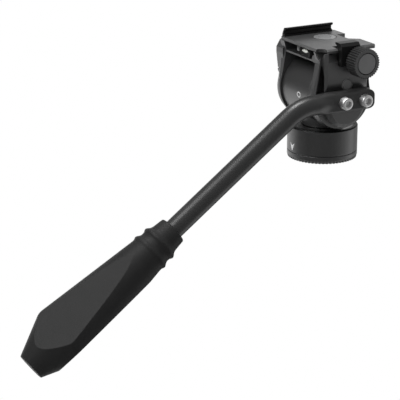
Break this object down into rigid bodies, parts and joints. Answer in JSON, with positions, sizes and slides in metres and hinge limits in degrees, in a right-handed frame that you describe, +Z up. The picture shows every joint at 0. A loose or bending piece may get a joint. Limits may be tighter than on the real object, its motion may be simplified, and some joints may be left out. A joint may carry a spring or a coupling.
{
  "type": "fluid video head",
  "caption": "Fluid video head: round pan base on a tripod thread, damped tilt drum in a cheeked cradle, sliding plate clamp with a ridged knob, and a bent pan bar with a three-sided grip.",
  "frame": {"origin": "centre of the tripod thread's mouth, in the base's bottom face", "axes": "+Z up along the pan axis, +Y forward to the lens, +X to the operator's right; the pan bar runs back towards -Y"},
  "size_m": [0.1096, 0.3209, 0.2301],
  "materials": {
    "dark_paint": "satin",
    "cast_paint": "fine satin",
    "rail_black": "black anodised",
    "tube_grey": "dark satin anodised",
    "grip_rubber": "matte",
    "knob_plastic": "matte",
    "clamp_plastic": "matte",
    "cap_grey": "matte",
    "light_cap": "fine satin",
    "bright_steel": "bright zinc",
    "shaft_steel": "ground",
    "black_steel": "black oxide",
    "bronze": "turned",
    "brass_insert": "turned",
    "seal_rubber": "matte",
    "vial": "clear"
  },
  "bodies": {
    "base": {"base_ring": "dark_paint", "thread_insert": "brass_insert", "pan_spindle": "shaft_steel", "spindle_screws": "bright_steel", "pan_stator": "shaft_steel", "spring_washer": "shaft_steel", "pan_nut": "bright_steel"},
    "pan": {"pan_drum": "dark_paint", "pan_rotor": "shaft_steel", "thrust_washer": "bronze", "tilt_drum": "dark_paint", "drum_cover": "dark_paint", "cover_screws": "black_steel", "neck_screws": "bright_steel", "tilt_bushes": "bronze", "tilt_seals": "seal_rubber", "tilt_stators": "shaft_steel"},
    "pan_lock": {"pan_lock_knob": "knob_plastic", "pan_lock_screw": "shaft_steel", "pan_brake_shoe": "brass_insert"},
    "tilt": {"tilt_cradle": "cast_paint", "tilt_shaft": "shaft_steel", "tilt_rotors": "shaft_steel", "platform_cap": "light_cap", "hub_cap": "cap_grey", "fixed_rail": "rail_black", "rail_screws": "black_steel", "level_holder": "cast_paint", "level_vial": "vial", "handle_mount": "cast_paint", "mount_screws": "black_steel", "pan_bar": "tube_grey", "handle_bolts": "bright_steel", "grip": "grip_rubber", "tilt_lock_washer": "shaft_steel"},
    "tilt_lock": {"tilt_lock_knob": "knob_plastic", "tilt_lock_stud": "shaft_steel"},
    "jaw": {"movable_jaw": "rail_black"},
    "clamp": {"clamp_screw": "shaft_steel", "clamp_knob": "clamp_plastic", "knob_cap": "cap_grey"}
  },
  "joints": [
    {"name": "pan_turn", "type": "hinge", "parent": "base", "child": "pan", "pos_m": [0, 0, 0.02], "axis": [0, 0, 1], "continuous": true},
    {"name": "tilt_turn", "type": "hinge", "parent": "pan", "child": "tilt", "pos_m": [0, 0, 0.056], "axis": [1, 0, 0], "range_deg": [-90, 75]},
    {"name": "pan_lock_turn", "type": "hinge", "parent": "pan", "child": "pan_lock", "pos_m": [-0.0319, 0.0207, 0.01218], "axis": [-0.8387, 0.5446, 0], "range_deg": [0, 270]},
    {"name": "tilt_lock_turn", "type": "hinge", "parent": "tilt", "child": "tilt_lock", "pos_m": [-0.036, 0, 0.056], "axis": [-1, 0, 0], "range_deg": [0, 270]},
    {"name": "jaw_slide", "type": "slide", "parent": "tilt", "child": "jaw", "axis": [1, 0, 0], "range_m": [-0.004, 0.001]},
    {"name": "clamp_knob_turn", "type": "hinge", "parent": "jaw", "child": "clamp", "pos_m": [0.046, 0.0068, 0.0871], "axis": [1, 0, 0], "range_deg": [-1441, 361]}
  ],
  "couplings": [
    {"joint": "clamp_knob_turn", "follows": "jaw_slide", "rad_per_m": 6283.2}
  ]
}
